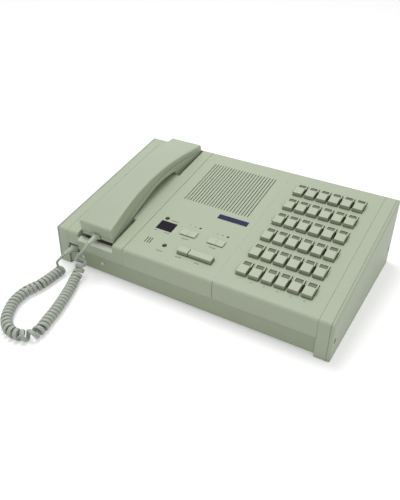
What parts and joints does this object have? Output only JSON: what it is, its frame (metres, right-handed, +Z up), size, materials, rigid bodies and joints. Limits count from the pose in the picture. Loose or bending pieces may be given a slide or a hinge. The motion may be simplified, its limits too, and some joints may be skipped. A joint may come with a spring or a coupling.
{
  "type": "desk intercom",
  "caption": "Sloped desk intercom station: handset in a cradle on a curly cord, a control panel with loudspeaker slots, and a bank of station push keys with lamp windows.",
  "frame": {"origin": "centre of the bottom of the case's bounding box, on the surface it stands on, without the cord and its plugs", "axes": "+X to the right along the front, +Y to the back, +Z up"},
  "size_m": [0.362, 0.3634, 0.0997],
  "materials": {
    "case_plastic": "fine spark-eroded texture, satin, slightly yellowed grey-green",
    "handset_plastic": "smooth satin moulding, a shade greyer than the case",
    "key_plastic": "smooth satin moulding, paler than the case",
    "cord_vinyl": "soft vinyl, satin",
    "plug_plastic": "satin",
    "window_plastic": "smoked, polished",
    "lamp_plastic": "translucent, unlit",
    "badge_plastic": "dark blue, smooth",
    "hook_plastic": "plain black moulding",
    "board_laminate": "solder-masked laminate",
    "speaker_steel": "black frame",
    "screw_steel": "zinc plated",
    "capsule_metal": "dull"
  },
  "bodies": {
    "case": {"base_tray": "case_plastic", "left_end_cap": "case_plastic", "right_end_cap": "case_plastic", "cradle_cover": "case_plastic", "control_cover": "case_plastic", "key_cover": "case_plastic", "badge_plate": "badge_plastic", "display_window": "window_plastic", "main_board": "board_laminate", "key_board": "board_laminate", "lamp_lenses": "lamp_plastic", "speaker": "speaker_steel", "curly_cord": "cord_vinyl", "base_plug": "plug_plastic", "screws": "screw_steel"},
    "handset": {"handset_top_shell": "handset_plastic", "handset_bottom_shell": "handset_plastic", "handset_capsules": "capsule_metal", "handset_plug": "plug_plastic"},
    "hook": {"hook_plunger": "hook_plastic"},
    "volume_slider": {"volume_slider": "key_plastic"},
    "tone_slider": {"tone_slider": "key_plastic"},
    "cancel_key": {"cancel_key": "key_plastic"},
    "talk_key": {"talk_key": "key_plastic"},
    "station_key_11": {"station_key_11": "key_plastic"},
    "station_key_12": {"station_key_12": "key_plastic"},
    "station_key_13": {"station_key_13": "key_plastic"},
    "station_key_14": {"station_key_14": "key_plastic"},
    "station_key_15": {"station_key_15": "key_plastic"},
    "station_key_16": {"station_key_16": "key_plastic"},
    "station_key_21": {"station_key_21": "key_plastic"},
    "station_key_22": {"station_key_22": "key_plastic"},
    "station_key_23": {"station_key_23": "key_plastic"},
    "station_key_24": {"station_key_24": "key_plastic"},
    "station_key_25": {"station_key_25": "key_plastic"},
    "station_key_26": {"station_key_26": "key_plastic"},
    "station_key_31": {"station_key_31": "key_plastic"},
    "station_key_32": {"station_key_32": "key_plastic"},
    "station_key_33": {"station_key_33": "key_plastic"},
    "station_key_34": {"station_key_34": "key_plastic"},
    "station_key_35": {"station_key_35": "key_plastic"},
    "station_key_36": {"station_key_36": "key_plastic"},
    "station_key_41": {"station_key_41": "key_plastic"},
    "station_key_42": {"station_key_42": "key_plastic"},
    "station_key_43": {"station_key_43": "key_plastic"},
    "station_key_44": {"station_key_44": "key_plastic"},
    "station_key_45": {"station_key_45": "key_plastic"},
    "station_key_46": {"station_key_46": "key_plastic"},
    "station_key_51": {"station_key_51": "key_plastic"},
    "station_key_52": {"station_key_52": "key_plastic"},
    "station_key_53": {"station_key_53": "key_plastic"},
    "station_key_54": {"station_key_54": "key_plastic"},
    "station_key_55": {"station_key_55": "key_plastic"},
    "station_key_56": {"station_key_56": "key_plastic"},
    "station_key_61": {"station_key_61": "key_plastic"},
    "station_key_62": {"station_key_62": "key_plastic"},
    "station_key_63": {"station_key_63": "key_plastic"},
    "station_key_64": {"station_key_64": "key_plastic"},
    "station_key_65": {"station_key_65": "key_plastic"},
    "station_key_66": {"station_key_66": "key_plastic"}
  },
  "joints": [
    {"name": "handset_lift", "type": "slide", "parent": "case", "child": "handset", "axis": [0, -0.1827, 0.9832], "range_m": [0, 0.06]},
    {"name": "hook_rise", "type": "slide", "parent": "case", "child": "hook", "axis": [0, -0.1827, 0.9832], "range_m": [0, 0.004]},
    {"name": "volume_slide", "type": "slide", "parent": "case", "child": "volume_slider", "axis": [1, 0, 0], "range_m": [-0.0072, 0.0072]},
    {"name": "tone_slide", "type": "slide", "parent": "case", "child": "tone_slider", "axis": [1, 0, 0], "range_m": [-0.0072, 0.0072]},
    {"name": "cancel_key_press", "type": "slide", "parent": "case", "child": "cancel_key", "axis": [0, 0.1827, -0.9832], "range_m": [0, 0.0015], "stiffness_N_per_m": 300, "springref_m": -0.001},
    {"name": "talk_key_press", "type": "slide", "parent": "case", "child": "talk_key", "axis": [0, 0.1827, -0.9832], "range_m": [0, 0.0015], "stiffness_N_per_m": 300, "springref_m": -0.001},
    {"name": "station_key_11_press", "type": "slide", "parent": "case", "child": "station_key_11", "axis": [0, 0.1827, -0.9832], "range_m": [0, 0.0015], "stiffness_N_per_m": 300, "springref_m": -0.001},
    {"name": "station_key_12_press", "type": "slide", "parent": "case", "child": "station_key_12", "axis": [0, 0.1827, -0.9832], "range_m": [0, 0.0015], "stiffness_N_per_m": 300, "springref_m": -0.001},
    {"name": "station_key_13_press", "type": "slide", "parent": "case", "child": "station_key_13", "axis": [0, 0.1827, -0.9832], "range_m": [0, 0.0015], "stiffness_N_per_m": 300, "springref_m": -0.001},
    {"name": "station_key_14_press", "type": "slide", "parent": "case", "child": "station_key_14", "axis": [0, 0.1827, -0.9832], "range_m": [0, 0.0015], "stiffness_N_per_m": 300, "springref_m": -0.001},
    {"name": "station_key_15_press", "type": "slide", "parent": "case", "child": "station_key_15", "axis": [0, 0.1827, -0.9832], "range_m": [0, 0.0015], "stiffness_N_per_m": 300, "springref_m": -0.001},
    {"name": "station_key_16_press", "type": "slide", "parent": "case", "child": "station_key_16", "axis": [0, 0.1827, -0.9832], "range_m": [0, 0.0015], "stiffness_N_per_m": 300, "springref_m": -0.001},
    {"name": "station_key_21_press", "type": "slide", "parent": "case", "child": "station_key_21", "axis": [0, 0.1827, -0.9832], "range_m": [0, 0.0015], "stiffness_N_per_m": 300, "springref_m": -0.001},
    {"name": "station_key_22_press", "type": "slide", "parent": "case", "child": "station_key_22", "axis": [0, 0.1827, -0.9832], "range_m": [0, 0.0015], "stiffness_N_per_m": 300, "springref_m": -0.001},
    {"name": "station_key_23_press", "type": "slide", "parent": "case", "child": "station_key_23", "axis": [0, 0.1827, -0.9832], "range_m": [0, 0.0015], "stiffness_N_per_m": 300, "springref_m": -0.001},
    {"name": "station_key_24_press", "type": "slide", "parent": "case", "child": "station_key_24", "axis": [0, 0.1827, -0.9832], "range_m": [0, 0.0015], "stiffness_N_per_m": 300, "springref_m": -0.001},
    {"name": "station_key_25_press", "type": "slide", "parent": "case", "child": "station_key_25", "axis": [0, 0.1827, -0.9832], "range_m": [0, 0.0015], "stiffness_N_per_m": 300, "springref_m": -0.001},
    {"name": "station_key_26_press", "type": "slide", "parent": "case", "child": "station_key_26", "axis": [0, 0.1827, -0.9832], "range_m": [0, 0.0015], "stiffness_N_per_m": 300, "springref_m": -0.001},
    {"name": "station_key_31_press", "type": "slide", "parent": "case", "child": "station_key_31", "axis": [0, 0.1827, -0.9832], "range_m": [0, 0.0015], "stiffness_N_per_m": 300, "springref_m": -0.001},
    {"name": "station_key_32_press", "type": "slide", "parent": "case", "child": "station_key_32", "axis": [0, 0.1827, -0.9832], "range_m": [0, 0.0015], "stiffness_N_per_m": 300, "springref_m": -0.001},
    {"name": "station_key_33_press", "type": "slide", "parent": "case", "child": "station_key_33", "axis": [0, 0.1827, -0.9832], "range_m": [0, 0.0015], "stiffness_N_per_m": 300, "springref_m": -0.001},
    {"name": "station_key_34_press", "type": "slide", "parent": "case", "child": "station_key_34", "axis": [0, 0.1827, -0.9832], "range_m": [0, 0.0015], "stiffness_N_per_m": 300, "springref_m": -0.001},
    {"name": "station_key_35_press", "type": "slide", "parent": "case", "child": "station_key_35", "axis": [0, 0.1827, -0.9832], "range_m": [0, 0.0015], "stiffness_N_per_m": 300, "springref_m": -0.001},
    {"name": "station_key_36_press", "type": "slide", "parent": "case", "child": "station_key_36", "axis": [0, 0.1827, -0.9832], "range_m": [0, 0.0015], "stiffness_N_per_m": 300, "springref_m": -0.001},
    {"name": "station_key_41_press", "type": "slide", "parent": "case", "child": "station_key_41", "axis": [0, 0.1827, -0.9832], "range_m": [0, 0.0015], "stiffness_N_per_m": 300, "springref_m": -0.001},
    {"name": "station_key_42_press", "type": "slide", "parent": "case", "child": "station_key_42", "axis": [0, 0.1827, -0.9832], "range_m": [0, 0.0015], "stiffness_N_per_m": 300, "springref_m": -0.001},
    {"name": "station_key_43_press", "type": "slide", "parent": "case", "child": "station_key_43", "axis": [0, 0.1827, -0.9832], "range_m": [0, 0.0015], "stiffness_N_per_m": 300, "springref_m": -0.001},
    {"name": "station_key_44_press", "type": "slide", "parent": "case", "child": "station_key_44", "axis": [0, 0.1827, -0.9832], "range_m": [0, 0.0015], "stiffness_N_per_m": 300, "springref_m": -0.001},
    {"name": "station_key_45_press", "type": "slide", "parent": "case", "child": "station_key_45", "axis": [0, 0.1827, -0.9832], "range_m": [0, 0.0015], "stiffness_N_per_m": 300, "springref_m": -0.001},
    {"name": "station_key_46_press", "type": "slide", "parent": "case", "child": "station_key_46", "axis": [0, 0.1827, -0.9832], "range_m": [0, 0.0015], "stiffness_N_per_m": 300, "springref_m": -0.001},
    {"name": "station_key_51_press", "type": "slide", "parent": "case", "child": "station_key_51", "axis": [0, 0.1827, -0.9832], "range_m": [0, 0.0015], "stiffness_N_per_m": 300, "springref_m": -0.001},
    {"name": "station_key_52_press", "type": "slide", "parent": "case", "child": "station_key_52", "axis": [0, 0.1827, -0.9832], "range_m": [0, 0.0015], "stiffness_N_per_m": 300, "springref_m": -0.001},
    {"name": "station_key_53_press", "type": "slide", "parent": "case", "child": "station_key_53", "axis": [0, 0.1827, -0.9832], "range_m": [0, 0.0015], "stiffness_N_per_m": 300, "springref_m": -0.001},
    {"name": "station_key_54_press", "type": "slide", "parent": "case", "child": "station_key_54", "axis": [0, 0.1827, -0.9832], "range_m": [0, 0.0015], "stiffness_N_per_m": 300, "springref_m": -0.001},
    {"name": "station_key_55_press", "type": "slide", "parent": "case", "child": "station_key_55", "axis": [0, 0.1827, -0.9832], "range_m": [0, 0.0015], "stiffness_N_per_m": 300, "springref_m": -0.001},
    {"name": "station_key_56_press", "type": "slide", "parent": "case", "child": "station_key_56", "axis": [0, 0.1827, -0.9832], "range_m": [0, 0.0015], "stiffness_N_per_m": 300, "springref_m": -0.001},
    {"name": "station_key_61_press", "type": "slide", "parent": "case", "child": "station_key_61", "axis": [0, 0.1827, -0.9832], "range_m": [0, 0.0015], "stiffness_N_per_m": 300, "springref_m": -0.001},
    {"name": "station_key_62_press", "type": "slide", "parent": "case", "child": "station_key_62", "axis": [0, 0.1827, -0.9832], "range_m": [0, 0.0015], "stiffness_N_per_m": 300, "springref_m": -0.001},
    {"name": "station_key_63_press", "type": "slide", "parent": "case", "child": "station_key_63", "axis": [0, 0.1827, -0.9832], "range_m": [0, 0.0015], "stiffness_N_per_m": 300, "springref_m": -0.001},
    {"name": "station_key_64_press", "type": "slide", "parent": "case", "child": "station_key_64", "axis": [0, 0.1827, -0.9832], "range_m": [0, 0.0015], "stiffness_N_per_m": 300, "springref_m": -0.001},
    {"name": "station_key_65_press", "type": "slide", "parent": "case", "child": "station_key_65", "axis": [0, 0.1827, -0.9832], "range_m": [0, 0.0015], "stiffness_N_per_m": 300, "springref_m": -0.001},
    {"name": "station_key_66_press", "type": "slide", "parent": "case", "child": "station_key_66", "axis": [0, 0.1827, -0.9832], "range_m": [0, 0.0015], "stiffness_N_per_m": 300, "springref_m": -0.001}
  ],
  "couplings": [
    {"joint": "hook_rise", "follows": "handset_lift", "ratio": 0.0666}
  ]
}
